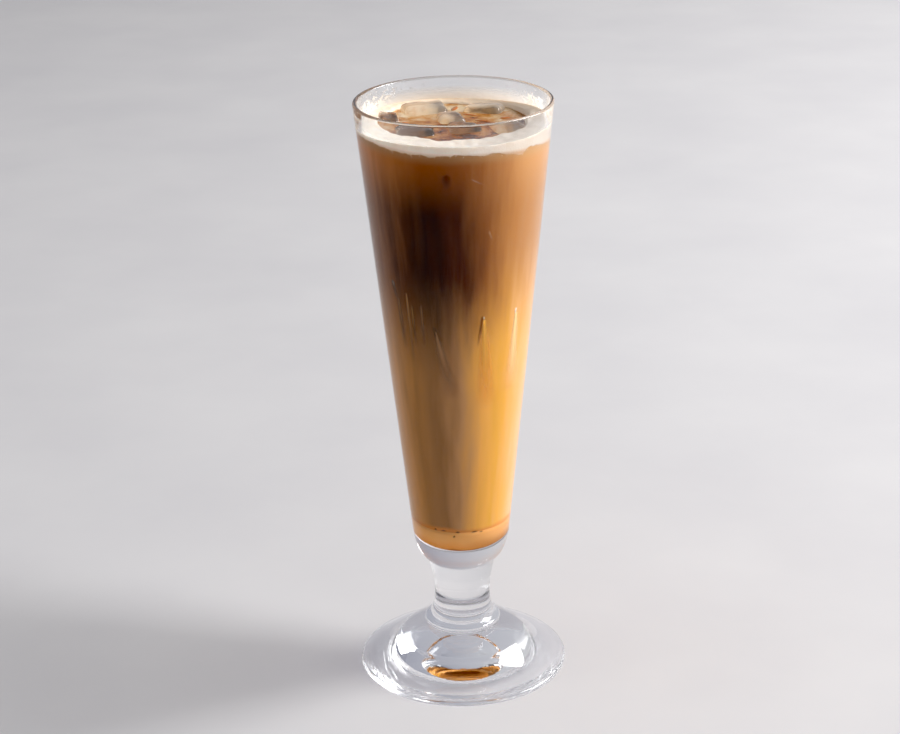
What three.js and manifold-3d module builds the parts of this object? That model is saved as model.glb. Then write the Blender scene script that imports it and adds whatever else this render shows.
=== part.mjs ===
// Iced caramel macchiato in a footed, tapered glass. Millimetres, +Z up.
// The origin is the centre of the foot's underside, on the surface that the glass stands on.
import * as THREE from "three";
import { RoundedBoxGeometry } from "three/addons/geometries/RoundedBoxGeometry.js";
import { mergeVertices } from "three/addons/utils/BufferGeometryUtils.js";
import Module from "manifold-3d";

const wasm = await Module();
wasm.setup();

const DEGREE = Math.PI / 180;
const HALF_TURN = Math.PI;

// Glass, outside, from the foot up
const GLASS_HEIGHT = 240;
const FOOT_RADIUS = 42.6;
const FOOT_EDGE_ROUND = 1.35;
const RESTING_RING_INNER = 35; // inside of the flat ring that the glass stands on
const UNDERSIDE_HOLLOW = 3;
const DOME_RADIUS = 31;
const DOME_FOOT_Z = 4.4;
const DOME_FILLET = 8; // wide hollow curve between the flat rim of the foot and its dome
const DOME_START = 35 * DEGREE; // where the fillet runs into the dome's arc
const DOME_TOP_RADIUS = 14.4;
const BEAD_RADIUS = 15.6; // round moulding between stem and foot
const BEAD_Z = 19.4;
const BEAD_ROUND = 2.1;
const BEAD_ARC = [-60 * DEGREE, 65 * DEGREE];
const WAIST_RADIUS = 11.3; // thinnest place of the stem
const WAIST_Z = 32;
const STEM_FLARE = 1.2; // how far the stem widens just above the bead
const NECK_RADIUS = 13.8; // where the bowl meets the stem
const NECK_Z = 47.3;
const SHOULDER_RADIUS = 19.68; // where the straight taper of the bowl begins
const SHOULDER_Z = 59.7;
const SHOULDER_PULL = [-1.4, 3.2]; // rounds the bowl's lower end, from the shoulder and from the neck
const RIM_RADIUS = 38.5;
const LIP_THICKNESS = 1.7;

// Glass, inside
const CAVITY_FLOOR_Z = 55.5;
const CAVITY_FLOOR_RADIUS = 3; // flat part of the floor
const CAVITY_CORNER_RADIUS = 17.14; // where the rounded corner meets the straight wall
const CAVITY_CORNER_Z = 64.6;
const CORNER_FLOOR_PULL = 7.5;
const CORNER_WALL_PULL = [-0.3, 3.9];

// Drink
const WALL_GAP = 0.3; // clearance between neighbouring solids
const CARAMEL_TOP_Z = 66.4;
const MILK_TOP_Z = 152;
const COFFEE_TOP_Z = 229.8;

// Foam, a ring along the wall that is widest at the front, deepest at the right and thinnest at the left
const FOAM_TOP_Z = 231.4;
const FOAM_BOTTOM_Z = 227.9;
const FOAM_BACK_WIDTH = 3.4;
const FOAM_FRONT_WIDTH = 11.2;
const FOAM_WIDTH_RIPPLE = 0.9;
const FOAM_RIGHT_SAG = 2.7;
const FOAM_LEFT_LIFT = 1.6;
const FOAM_RIGHT_RISE = 0.8;
const FOAM_UNEVENNESS = 0.3;
const FOAM_EDGE_DROP = 0.5; // how far its top falls towards the inner edge
const FOAM_SUNK = 1.6; // how deep its inner edge lies in the coffee
const FOAM_SECTIONS = 48;

// Ice: middle of each cube, its width, depth and height, turn about +Z, lean and height above the coffee
const ICE_CUBES = [
  { x: -11.5, y: 22.3, size: [17.5, 12.5, 14], turn: 16, lean: 4, rise: 2.6 },
  { x: 12.3, y: 22, size: [16, 12, 14], turn: -16, lean: -4, rise: 2.4 },
  { x: -1.2, y: 8.5, size: [10.5, 12, 12], turn: 12, lean: 4, rise: 2.2 },
  { x: -14.5, y: -11.5, size: [16, 15.5, 14], turn: 10, lean: -3, rise: 1.4 },
  { x: 3.8, y: -7.5, size: [13, 15, 14], turn: 8, lean: 4, rise: 1.7 },
  { x: 20, y: -8.5, size: [12.5, 15, 13], turn: 24, lean: -5, rise: 2 },
  { x: -25.5, y: 10, size: [7.5, 8.5, 8], turn: 10, lean: 12, rise: 2.2 },
];
const ICE_ROUNDING = 0.2; // share of the shortest edge that has melted off the corners
const ICE_DENT = 0.022; // depth of the melt dents, as a share of the size
const ICE_SIDE_LEAN = 0.7; // lean to the side, as a share of the lean to the front
const ICE_SEGMENTS = 2;

const SIDES = 48; // facets round the axis
const CURVE_STEPS = 3;

// Solids and meshes

function solidFrom(geometry) {
  const bare = new THREE.BufferGeometry().setAttribute("position", geometry.getAttribute("position"));
  if (geometry.index) bare.setIndex(geometry.index);
  const merged = mergeVertices(bare, 1e-4);
  const mesh = new wasm.Mesh({
    numProp: 3,
    vertProperties: merged.attributes.position.array,
    triVerts: new Uint32Array(merged.index.array),
  });
  return new wasm.Manifold(mesh);
}

function geometryFrom(solid) {
  const mesh = solid.getMesh();
  const geometry = new THREE.BufferGeometry();
  geometry.setAttribute("position", new THREE.BufferAttribute(mesh.vertProperties, 3));
  geometry.setIndex(new THREE.BufferAttribute(mesh.triVerts, 1));
  geometry.computeVertexNormals();
  return geometry;
}

function namedMesh(name, geometry, material) {
  const mesh = new THREE.Mesh(geometry, material);
  mesh.name = name;
  return mesh;
}

// A solid of revolution about +Z from an outline of (radius, height).
function turned(path) {
  const outline = path.getPoints(CURVE_STEPS);
  return new THREE.LatheGeometry(outline, SIDES).rotateX(HALF_TURN / 2);
}

// Radius of the cavity at a height on its straight wall.
function cavityRadius(z) {
  const share = (z - CAVITY_CORNER_Z) / (GLASS_HEIGHT - CAVITY_CORNER_Z);
  return THREE.MathUtils.lerp(CAVITY_CORNER_RADIUS, RIM_RADIUS - LIP_THICKNESS, share);
}

// The rounded corner between the cavity's floor and its wall, moved inwards by a clearance.
function cavityCorner(inset) {
  const floor = CAVITY_FLOOR_Z + inset;
  const wall = CAVITY_CORNER_RADIUS - inset;
  return {
    floorEnd: [CAVITY_FLOOR_RADIUS, floor],
    floorPull: [CAVITY_FLOOR_RADIUS + CORNER_FLOOR_PULL - inset, floor],
    wallPull: [wall + CORNER_WALL_PULL[0], floor + CORNER_WALL_PULL[1]],
    wallEnd: [wall, CAVITY_CORNER_Z],
  };
}

// Glass: pressed in one piece, with a solid stem and a domed foot

function addFoot(path) {
  path.moveTo(0, UNDERSIDE_HOLLOW);
  path.quadraticCurveTo(RESTING_RING_INNER / 2, UNDERSIDE_HOLLOW, RESTING_RING_INNER, 0);
  const edgeMiddle = FOOT_RADIUS - FOOT_EDGE_ROUND;
  path.absarc(edgeMiddle, FOOT_EDGE_ROUND, FOOT_EDGE_ROUND, -HALF_TURN / 2, HALF_TURN / 2, false);

  const domeEnd = Math.acos(DOME_TOP_RADIUS / DOME_RADIUS);
  const domeHeight = (BEAD_Z - BEAD_ROUND - DOME_FOOT_Z) / Math.sin(domeEnd);
  const filletEnd = [DOME_RADIUS * Math.cos(DOME_START), DOME_FOOT_Z + domeHeight * Math.sin(DOME_START)];
  path.lineTo(DOME_RADIUS + DOME_FILLET, DOME_FOOT_Z - DOME_FILLET / 10);
  path.quadraticCurveTo(DOME_RADIUS, DOME_FOOT_Z, ...filletEnd);
  path.absellipse(0, DOME_FOOT_Z, DOME_RADIUS, domeHeight, DOME_START, domeEnd, false);
}

function addStem(path) {
  path.absarc(BEAD_RADIUS - BEAD_ROUND, BEAD_Z, BEAD_ROUND, ...BEAD_ARC, false);
  const flare = [WAIST_RADIUS + STEM_FLARE, BEAD_Z + 1.5 * BEAD_ROUND];
  path.bezierCurveTo(...flare, WAIST_RADIUS, (BEAD_Z + 2 * WAIST_Z) / 3, WAIST_RADIUS, WAIST_Z);
  path.quadraticCurveTo(WAIST_RADIUS, (2 * WAIST_Z + NECK_Z) / 3, NECK_RADIUS, NECK_Z);
}

function addBowl(path) {
  const shoulder = [SHOULDER_RADIUS + SHOULDER_PULL[0], NECK_Z + SHOULDER_PULL[1]];
  path.quadraticCurveTo(...shoulder, SHOULDER_RADIUS, SHOULDER_Z);
  const lip = LIP_THICKNESS / 2;
  path.lineTo(RIM_RADIUS, GLASS_HEIGHT - lip);
  path.absarc(RIM_RADIUS - lip, GLASS_HEIGHT - lip, lip, 0, HALF_TURN, false);
  const corner = cavityCorner(0);
  path.lineTo(...corner.wallEnd);
  path.bezierCurveTo(...corner.wallPull, ...corner.floorPull, ...corner.floorEnd);
  path.lineTo(0, CAVITY_FLOOR_Z);
}

function glassOutline() {
  const path = new THREE.Path();
  addFoot(path);
  addStem(path);
  addBowl(path);
  return path;
}

// Drink: caramel syrup, milk and coffee lie in layers that fill the cavity

function caramelOutline() {
  const corner = cavityCorner(WALL_GAP);
  const path = new THREE.Path();
  path.moveTo(0, CAVITY_FLOOR_Z + WALL_GAP);
  path.lineTo(...corner.floorEnd);
  path.bezierCurveTo(...corner.floorPull, ...corner.wallPull, ...corner.wallEnd);
  path.lineTo(cavityRadius(CARAMEL_TOP_Z) - WALL_GAP, CARAMEL_TOP_Z);
  path.lineTo(0, CARAMEL_TOP_Z);
  return path;
}

function layerOutline(bottom, top) {
  const path = new THREE.Path();
  path.moveTo(0, bottom);
  path.lineTo(cavityRadius(bottom) - WALL_GAP, bottom);
  path.lineTo(cavityRadius(top) - WALL_GAP, top);
  path.lineTo(0, top);
  return path;
}

// Foam: its section at an angle round the axis, as (radius, height), grown by a clearance

function foamSection(angle, grow) {
  const front = (1 - Math.sin(angle)) / 2;
  const right = Math.max(0, Math.cos(angle)) ** 2;
  const left = Math.max(0, -Math.cos(angle)) ** 2;
  const ripple = Math.sin(5 * angle + 0.8) + 0.6 * Math.sin(9 * angle + 2.1);
  const top = FOAM_TOP_Z + FOAM_RIGHT_RISE * right + FOAM_UNEVENNESS * Math.sin(3 * angle + 1) + grow;
  const slope = FOAM_LEFT_LIFT * left - FOAM_RIGHT_SAG * right;
  const bottom = FOAM_BOTTOM_Z + slope + FOAM_UNEVENNESS * Math.sin(4 * angle) - grow;
  const meanWidth = THREE.MathUtils.lerp(FOAM_BACK_WIDTH, FOAM_FRONT_WIDTH, front);
  const width = meanWidth + FOAM_WIDTH_RIPPLE * ripple + grow;
  const outer = (z) => cavityRadius(z) - WALL_GAP + grow;
  const inner = cavityRadius(top) - width;
  return [
    [outer(bottom), bottom],
    [outer(top), top],
    [outer(top) - 0.4 * width, top - FOAM_EDGE_DROP / 2],
    [inner + 1, top - FOAM_EDGE_DROP],
    [inner, (COFFEE_TOP_Z + top) / 2 - FOAM_EDGE_DROP],
    [inner + 1, Math.max(bottom, COFFEE_TOP_Z - FOAM_SUNK) - grow],
  ];
}

function foamGeometry(grow) {
  const positions = [];
  const faces = [];
  const rows = foamSection(0, grow).length;
  for (let i = 0; i < FOAM_SECTIONS; i++) {
    const angle = (2 * HALF_TURN * i) / FOAM_SECTIONS;
    for (const [r, z] of foamSection(angle, grow)) {
      positions.push(r * Math.cos(angle), r * Math.sin(angle), z);
    }
    const next = (i + 1) % FOAM_SECTIONS;
    for (let k = 0; k < rows; k++) {
      const up = (k + 1) % rows;
      const [a, b, c, d] = [i * rows + k, next * rows + k, next * rows + up, i * rows + up];
      faces.push(a, b, c, a, c, d);
    }
  }
  const geometry = new THREE.BufferGeometry();
  geometry.setAttribute("position", new THREE.Float32BufferAttribute(positions, 3));
  geometry.setIndex(faces);
  return geometry;
}

// Ice: melted cubes that float with their tops just clear of the coffee

function iceGeometry(cube, index, grow) {
  const [width, depth, height] = cube.size.map((side) => side + 2 * grow);
  const rounding = ICE_ROUNDING * Math.min(width, depth, height);
  const geometry = new RoundedBoxGeometry(width, depth, height, ICE_SEGMENTS, rounding);
  const position = geometry.getAttribute("position");
  const point = new THREE.Vector3();
  for (let i = 0; i < position.count; i++) {
    point.fromBufferAttribute(position, i);
    const [u, v, w] = [point.x / width, point.y / depth, point.z / height];
    const dent = Math.sin(5 * u + index) + Math.sin(4 * v + 2 * index) + Math.sin(6 * w + 3 * index);
    point.multiplyScalar(1 + ICE_DENT * dent);
    position.setXYZ(i, point.x, point.y, point.z);
  }
  return geometry;
}

function placeIce(object, cube) {
  object.rotation.set(cube.lean * DEGREE, ICE_SIDE_LEAN * cube.lean * DEGREE, cube.turn * DEGREE, "ZYX");
  object.position.set(cube.x, cube.y, COFFEE_TOP_Z + cube.rise - cube.size[2] / 2);
  object.updateMatrix();
  return object;
}

// The room that a cube takes up in the coffee and the foam round it.
function icePocket(cube, index) {
  const pocket = iceGeometry(cube, index, WALL_GAP);
  return solidFrom(pocket.applyMatrix4(placeIce(new THREE.Object3D(), cube).matrix));
}

// The finished drink

const materials = {
  glass: new THREE.MeshStandardMaterial({ color: 0xe8edf0, roughness: 0, transparent: true, opacity: 0.4 }),
  caramel: new THREE.MeshStandardMaterial({ color: 0xc8782e, roughness: 0.25 }),
  milk: new THREE.MeshStandardMaterial({ color: 0xb98750, roughness: 0.3 }),
  coffee: new THREE.MeshStandardMaterial({ color: 0x5a2f17, roughness: 0.2 }),
  foam: new THREE.MeshStandardMaterial({ color: 0xeee3d4, roughness: 0.7 }),
  ice: new THREE.MeshStandardMaterial({ color: 0xe6e0d8, roughness: 0.1, transparent: true, opacity: 0.6 }),
};

const pockets = ICE_CUBES.map(icePocket).reduce((all, pocket) => all.add(pocket));
const coffeeBody = solidFrom(turned(layerOutline(MILK_TOP_Z + WALL_GAP, COFFEE_TOP_Z)));
const coffee = coffeeBody.subtract(solidFrom(foamGeometry(WALL_GAP))).subtract(pockets);
const foam = solidFrom(foamGeometry(0)).subtract(pockets);

const drink = new THREE.Group();
drink.add(namedMesh("glass", turned(glassOutline()), materials.glass));
drink.add(namedMesh("caramel_layer", turned(caramelOutline()), materials.caramel));
const milkGeometry = turned(layerOutline(CARAMEL_TOP_Z + WALL_GAP, MILK_TOP_Z));
drink.add(namedMesh("milk_layer", milkGeometry, materials.milk));
drink.add(namedMesh("coffee_layer", geometryFrom(coffee), materials.coffee));
drink.add(namedMesh("foam_ring", geometryFrom(foam), materials.foam));
ICE_CUBES.forEach((cube, index) => {
  const ice = namedMesh(`ice_${index + 1}`, iceGeometry(cube, index, 0), materials.ice);
  drink.add(placeIce(ice, cube));
});

export default drink;
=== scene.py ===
import math

import bmesh
import bpy
import numpy as np
from mathutils import Matrix, Vector, noise


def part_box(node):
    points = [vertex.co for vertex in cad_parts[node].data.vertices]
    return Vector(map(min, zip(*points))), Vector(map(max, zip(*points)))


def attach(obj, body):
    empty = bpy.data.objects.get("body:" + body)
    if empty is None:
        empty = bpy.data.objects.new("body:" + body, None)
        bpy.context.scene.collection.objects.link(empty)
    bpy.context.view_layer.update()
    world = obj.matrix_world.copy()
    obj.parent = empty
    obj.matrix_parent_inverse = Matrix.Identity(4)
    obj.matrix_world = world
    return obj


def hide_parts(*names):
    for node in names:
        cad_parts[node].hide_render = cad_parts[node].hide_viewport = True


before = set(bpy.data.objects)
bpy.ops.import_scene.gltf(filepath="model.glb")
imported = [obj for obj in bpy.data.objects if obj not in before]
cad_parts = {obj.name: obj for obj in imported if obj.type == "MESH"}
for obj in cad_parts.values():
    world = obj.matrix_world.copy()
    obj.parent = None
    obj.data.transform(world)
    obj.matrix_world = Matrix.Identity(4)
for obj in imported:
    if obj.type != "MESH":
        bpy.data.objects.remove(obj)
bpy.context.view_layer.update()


# Glass
# A tall tapered bowl on a solid stem and a domed foot, pressed in one piece from clear soda-lime
# glass and fire-polished, so that every edge is soft and the thick foot shows long reflections.
MM = 0.001
HALF_TURN = math.pi

glass_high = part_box("glass")[1]
GLASS_HEIGHT = glass_high.z / MM
FOOT_RADIUS = glass_high.x / MM
FOOT_EDGE_ROUND = 1.35
RESTING_RING_INNER = 35.0
UNDERSIDE_HOLLOW = 3.0
DOME_RADIUS = 31.0
DOME_FOOT_Z = 4.4
DOME_FILLET = 8.0
DOME_START = math.radians(35)
DOME_TOP_RADIUS = 14.4
BEAD_RADIUS = 15.6
BEAD_Z = 19.4
BEAD_ROUND = 2.1
BEAD_ARC = (math.radians(-60), math.radians(65))
WAIST_RADIUS = 11.3
WAIST_Z = 32.0
STEM_FLARE = 1.2
NECK_RADIUS = 13.8
NECK_Z = 47.3
SHOULDER_RADIUS = 19.68
SHOULDER_Z = 59.7
SHOULDER_PULL = (-1.4, 3.2)
RIM_RADIUS = 38.5
LIP_THICKNESS = 1.7
CAVITY_FLOOR_Z = 55.5
CAVITY_FLOOR_RADIUS = 3.0
CAVITY_CORNER_RADIUS = 17.14
CAVITY_CORNER_Z = 64.6
CORNER_FLOOR_PULL = 7.5
CORNER_WALL_PULL = (-0.3, 3.9)
GLASS_SIDES = 256
CURVE_STEPS = 18


def bezier(*points):
    """Points along a curve of two, three or four control points, without the first."""
    steps = np.linspace(0, 1, CURVE_STEPS + 1)[1:, None]
    level = [np.array(p, float) for p in points]
    while len(level) > 1:
        level = [a + (b - a) * steps for a, b in zip(level, level[1:])]
    return [tuple(p) for p in level[0]]


def arc(middle, radii, start, end):
    """Points along an arc of a circle or an ellipse."""
    turn = np.linspace(start, end, CURVE_STEPS)
    return [(middle[0] + radii[0] * math.cos(a), middle[1] + radii[1] * math.sin(a)) for a in turn]


def cavity_radius(z):
    """Radius of the cavity at a height on its straight wall."""
    share = (z - CAVITY_CORNER_Z) / (GLASS_HEIGHT - CAVITY_CORNER_Z)
    return CAVITY_CORNER_RADIUS + share * (RIM_RADIUS - LIP_THICKNESS - CAVITY_CORNER_RADIUS)


def cavity_corner(reach):
    """The rounded corner from the cavity's floor to its wall, moved out into the glass by a reach."""
    floor = CAVITY_FLOOR_Z - reach
    wall = CAVITY_CORNER_RADIUS + reach
    floor_pull = (CAVITY_FLOOR_RADIUS + CORNER_FLOOR_PULL + reach, floor)
    wall_pull = (wall + CORNER_WALL_PULL[0], floor + CORNER_WALL_PULL[1])
    floor_end = (CAVITY_FLOOR_RADIUS, floor)
    return [floor_end] + bezier(floor_end, floor_pull, wall_pull, (wall, CAVITY_CORNER_Z))


def glass_outline():
    """(radius, height) in mm from the middle of the underside, over the rim, to the cavity's floor."""
    quarter = HALF_TURN / 2
    edge = (FOOT_RADIUS - FOOT_EDGE_ROUND, FOOT_EDGE_ROUND)
    dome_end = math.acos(DOME_TOP_RADIUS / DOME_RADIUS)
    dome_height = (BEAD_Z - BEAD_ROUND - DOME_FOOT_Z) / math.sin(dome_end)
    dome = arc((0, DOME_FOOT_Z), (DOME_RADIUS, dome_height), DOME_START, dome_end)
    flange = (DOME_RADIUS + DOME_FILLET, DOME_FOOT_Z - DOME_FILLET / 10)
    bead = arc((BEAD_RADIUS - BEAD_ROUND, BEAD_Z), (BEAD_ROUND, BEAD_ROUND), *BEAD_ARC)
    flare = (WAIST_RADIUS + STEM_FLARE, BEAD_Z + 1.5 * BEAD_ROUND)
    waist = (WAIST_RADIUS, WAIST_Z)
    neck = (NECK_RADIUS, NECK_Z)
    shoulder = (SHOULDER_RADIUS, SHOULDER_Z)
    lip = LIP_THICKNESS / 2
    points = [(0.0, UNDERSIDE_HOLLOW)]
    points += bezier(points[0], (RESTING_RING_INNER / 2, UNDERSIDE_HOLLOW), (RESTING_RING_INNER, 0))
    points += arc(edge, (FOOT_EDGE_ROUND, FOOT_EDGE_ROUND), -quarter, quarter)
    points += bezier(points[-1], flange)
    points += bezier(flange, (DOME_RADIUS, DOME_FOOT_Z), dome[0])
    points += dome[1:]
    points += bead
    points += bezier(bead[-1], flare, (WAIST_RADIUS, (BEAD_Z + 2 * WAIST_Z) / 3), waist)
    points += bezier(waist, (WAIST_RADIUS, (2 * WAIST_Z + NECK_Z) / 3), neck)
    points += bezier(neck, (SHOULDER_RADIUS + SHOULDER_PULL[0], NECK_Z + SHOULDER_PULL[1]), shoulder)
    points += bezier(shoulder, (RIM_RADIUS, GLASS_HEIGHT - lip))
    points += arc((RIM_RADIUS - lip, GLASS_HEIGHT - lip), (lip, lip), 0, HALF_TURN)[1:]
    corner = cavity_corner(0)
    points += bezier(points[-1], corner[-1])
    points += corner[-2::-1]
    points += [(0.0, CAVITY_FLOOR_Z)]
    return points


def turned(outline, sides):
    """Vertices and faces of a closed body of revolution about +Z, from axis to axis, in metres."""
    rings = np.array(outline[1:-1])
    turn = np.linspace(0, 2 * HALF_TURN, sides, endpoint=False)
    x = rings[:, :1] * np.cos(turn)
    y = rings[:, :1] * np.sin(turn)
    z = np.repeat(rings[:, 1:], sides, axis=1)
    wall = np.stack([x, y, z], axis=2).reshape(-1, 3)
    ends = np.array([(0, 0, outline[0][1]), (0, 0, outline[-1][1])])
    first, last = len(wall), len(wall) + 1
    top = (len(rings) - 1) * sides
    here = np.arange(sides)
    after = (here + 1) % sides
    faces = []
    for row in range(len(rings) - 1):
        low, high = row * sides, (row + 1) * sides
        faces += list(zip(low + here, low + after, high + after, high + here))
    faces += [(first, b, a) for a, b in zip(here, after)]
    faces += [(last, top + a, top + b) for a, b in zip(here, after)]
    return np.vstack([wall, ends]) * MM, faces


def piece(name, vertices, faces, material, slot):
    """A smooth mesh piece with its material, attached to the root body; the slot is not used."""
    mesh = bpy.data.meshes.new(name)
    mesh.from_pydata([tuple(v) for v in vertices], [], [tuple(int(i) for i in f) for f in faces])
    mesh.validate()
    mesh.shade_smooth()
    mesh.materials.append(material)
    made = bpy.data.objects.new(name, mesh)
    bpy.context.scene.collection.objects.link(made)
    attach(made, "root")
    return made


def linear(text):
    """An sRGB hex colour as linear RGBA."""
    shares = [int(text[i:i + 2], 16) / 255 for i in (1, 3, 5)]
    return (*[s / 12.92 if s <= 0.04045 else ((s + 0.055) / 1.055) ** 2.4 for s in shares], 1)


def material_of(name):
    """A new node material, and its tree with only the output left in it."""
    made = bpy.data.materials.new(name)
    made.use_nodes = True
    made.node_tree.nodes.clear()
    made.node_tree.nodes.new("ShaderNodeOutputMaterial")
    return made, made.node_tree


def node(tree, kind, inputs=None, stops=None, **settings):
    """Adds a node with its settings, its inputs as values or links, and its colour stops."""
    made = tree.nodes.new(kind)
    for key, value in settings.items():
        setattr(made, key, value)
    for key, value in (inputs or {}).items():
        if isinstance(value, bpy.types.NodeSocket):
            tree.links.new(value, made.inputs[key])
        else:
            made.inputs[key].default_value = value
    for index, (place, colour) in enumerate(stops or ()):
        ramp = made.color_ramp.elements
        stop = ramp[index] if index < 2 else ramp.new(place)
        stop.position = place
        stop.color = colour
    return made


def surface(tree, shader):
    """Makes a shader the material's surface."""
    tree.links.new(shader, tree.nodes["Material Output"].inputs["Surface"])


def clear_surface(tree, body, passed):
    """Makes a shader the surface, and lets lamp light and bounced light pass straight through it."""
    light_path = node(tree, "ShaderNodeLightPath")
    through = node(tree, "ShaderNodeMath", {
        0: light_path.outputs["Is Shadow Ray"],
        1: light_path.outputs["Is Diffuse Ray"],
    }, operation="MAXIMUM")
    lamp_light = node(tree, "ShaderNodeBsdfTransparent", {"Color": passed})
    mix = node(tree, "ShaderNodeMixShader", {
        "Fac": through.outputs[0],
        1: body,
        2: lamp_light.outputs["BSDF"],
    })
    surface(tree, mix.outputs["Shader"])


# Pressed soda-lime glass: colourless, mirror-smooth, with the faint waves that a mould leaves.
MOULD_WAVE = 9.0
CHILL_MARK = 3.2
clear_glass, tree = material_of("pressed soda-lime glass")
place = node(tree, "ShaderNodeTexCoord").outputs["Object"]
wave = node(tree, "ShaderNodeTexNoise", {"Vector": place, "Scale": 1 / (MOULD_WAVE * MM), "Detail": 1.0})
smooth = node(tree, "ShaderNodeBump", {"Height": wave.outputs["Fac"], "Strength": 0.04, "Distance": 0.5 * MM})
axes = node(tree, "ShaderNodeSeparateXYZ", {"Vector": place})
crinkle = node(tree, "ShaderNodeTexNoise", {"Vector": place, "Scale": 1 / (CHILL_MARK * MM), "Detail": 3.0})
beneath = node(tree, "ShaderNodeMapRange", {
    "Value": axes.outputs["Z"],
    "From Min": UNDERSIDE_HOLLOW * MM,
    "From Max": (UNDERSIDE_HOLLOW + 0.2) * MM,
    "To Min": 0.08,
    "To Max": 0.0,
})
bump = node(tree, "ShaderNodeBump", {
    "Height": crinkle.outputs["Fac"],
    "Strength": beneath.outputs["Result"],
    "Distance": 0.4 * MM,
    "Normal": smooth.outputs["Normal"],
})
# Painted shade: the top of the lip is tinted grey for the dark line that the rim shows.
rim_share = node(tree, "ShaderNodeMapRange", {
    "Value": axes.outputs["Z"],
    "From Min": (GLASS_HEIGHT - LIP_THICKNESS / 2) * MM,
    "From Max": (GLASS_HEIGHT - LIP_THICKNESS / 4) * MM,
})
painted_dark_rim = node(tree, "ShaderNodeMix", {
    "Factor": rim_share.outputs["Result"],
    "A": linear("#fbfcfd"),
    "B": linear("#b8b3b0"),
}, data_type="RGBA")
glass = node(tree, "ShaderNodeBsdfPrincipled", {
    "Base Color": painted_dark_rim.outputs["Result"],
    "Roughness": 0.0,
    "IOR": 1.5,
    "Transmission Weight": 1.0,
    "Normal": bump.outputs["Normal"],
})
up_share = node(tree, "ShaderNodeMath", {0: axes.outputs["Z"], 1: GLASS_HEIGHT * MM}, operation="DIVIDE")
passed = node(tree, "ShaderNodeValToRGB", {"Fac": up_share.outputs[0]}, stops=[
    (DOME_FOOT_Z / GLASS_HEIGHT, linear("#fefeff")),
    (1.5 * DOME_FOOT_Z / GLASS_HEIGHT, linear("#c6c6cb")),
    (NECK_Z / GLASS_HEIGHT, linear("#d8d8dc")),
    (SHOULDER_Z / GLASS_HEIGHT, linear("#fcfcfd")),
])
clear_surface(tree, glass.outputs["BSDF"], passed.outputs["Color"])

tumbler = piece("tapered_glass", *turned(glass_outline(), GLASS_SIDES), clear_glass, "clear_glass")
tumbler.data.set_sharp_from_angle(angle=math.radians(35))
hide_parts("glass")


# Caramel
# Thick amber syrup that was poured in first. It lies on the cavity's floor and against its rounded
# corner, with dark flecks of burnt sugar caught where it meets the milk.
WALL_REACH = 0.15
CARAMEL_TOP_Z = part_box("caramel_layer")[1].z / MM
CARAMEL_SIDES = 128

# Boiled sugar syrup: amber and nearly opaque, dark on the floor and brighter towards the milk.
caramel_syrup, tree = material_of("caramel syrup")
place = node(tree, "ShaderNodeTexCoord").outputs["Object"]
cloud = node(tree, "ShaderNodeTexNoise", {"Vector": place, "Scale": 1 / (6 * MM), "Detail": 3.0})
axes = node(tree, "ShaderNodeSeparateXYZ", {"Vector": place})
up_share = node(tree, "ShaderNodeMapRange", {
    "Value": axes.outputs["Z"],
    "From Min": CAVITY_FLOOR_Z * MM,
    "From Max": CARAMEL_TOP_Z * MM,
})
clouded = node(tree, "ShaderNodeMath", {
    0: cloud.outputs["Fac"],
    1: 0.4,
    2: up_share.outputs["Result"],
}, operation="MULTIPLY_ADD")
amber = node(tree, "ShaderNodeValToRGB", {"Fac": clouded.outputs[0]}, stops=[
    (0.22, linear("#7a4020")),
    (0.42, linear("#ee9a48")),
    (0.8, linear("#f6b066")),
])
# Painted shade: the syrup is darkened towards the right, where the key light falls, to even out its light.
to_right = node(tree, "ShaderNodeMapRange", {
    "Value": axes.outputs["X"],
    "From Min": 0.0,
    "From Max": CAVITY_CORNER_RADIUS * MM,
    "To Max": 0.5,
})
amber_with_painted_shade = node(tree, "ShaderNodeMix", {
    "Factor": to_right.outputs["Result"],
    "A": amber.outputs["Color"],
    "B": linear("#b07a48"),
}, data_type="RGBA")
# The emission is a painted glow, for light scattered in the syrup.
syrup = node(tree, "ShaderNodeBsdfPrincipled", {
    "Base Color": amber_with_painted_shade.outputs["Result"],
    "Roughness": 0.3,
    "Specular IOR Level": 0.0,
    "Emission Color": amber_with_painted_shade.outputs["Result"],
    "Emission Strength": 0.13,
})
surface(tree, syrup.outputs["BSDF"])

outline = [(0.0, CAVITY_FLOOR_Z - WALL_REACH)]
outline += cavity_corner(WALL_REACH)
outline += [(cavity_radius(CARAMEL_TOP_Z) + WALL_REACH, CARAMEL_TOP_Z), (0.0, CARAMEL_TOP_Z)]
caramel = piece("caramel_syrup", *turned(outline, CARAMEL_SIDES), caramel_syrup, "caramel_syrup")
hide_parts("caramel_layer")


# Ice
# Machine-made cubes that have begun to melt: rounded edges, shallow dents, clear outside and cloudy
# in the middle. They float wedged against each other with their tops just clear of the coffee.
ICE_NODES = sorted(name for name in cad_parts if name.startswith("ice_"))
ICE_VOXEL = 0.8 * MM
ICE_DENT = 0.35
ICE_DENT_SPAN = 5.0

# Melting ice: clear at the front and cloudier towards the back, with a wet, rippled skin.
wet_ice, tree = material_of("melting ice")
place = node(tree, "ShaderNodeTexCoord").outputs["Object"]
cloud = node(tree, "ShaderNodeTexNoise", {"Vector": place, "Scale": 1 / (7 * MM), "Detail": 4.0})
axes = node(tree, "ShaderNodeSeparateXYZ", {"Vector": place})
cloudy = node(tree, "ShaderNodeMath", {
    0: axes.outputs["Y"],
    1: 0.012 / MM,
    2: cloud.outputs["Fac"],
}, operation="MULTIPLY_ADD")
clearness = node(tree, "ShaderNodeMapRange", {
    "Value": cloudy.outputs[0],
    "From Min": 0.42,
    "From Max": 0.7,
    "To Min": 1.0,
    "To Max": 0.8,
})
ripple = node(tree, "ShaderNodeTexNoise", {"Vector": place, "Scale": 1 / (3 * MM), "Detail": 2.0})
bump = node(tree, "ShaderNodeBump", {"Height": ripple.outputs["Fac"], "Strength": 0.08, "Distance": 0.6 * MM})
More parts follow.
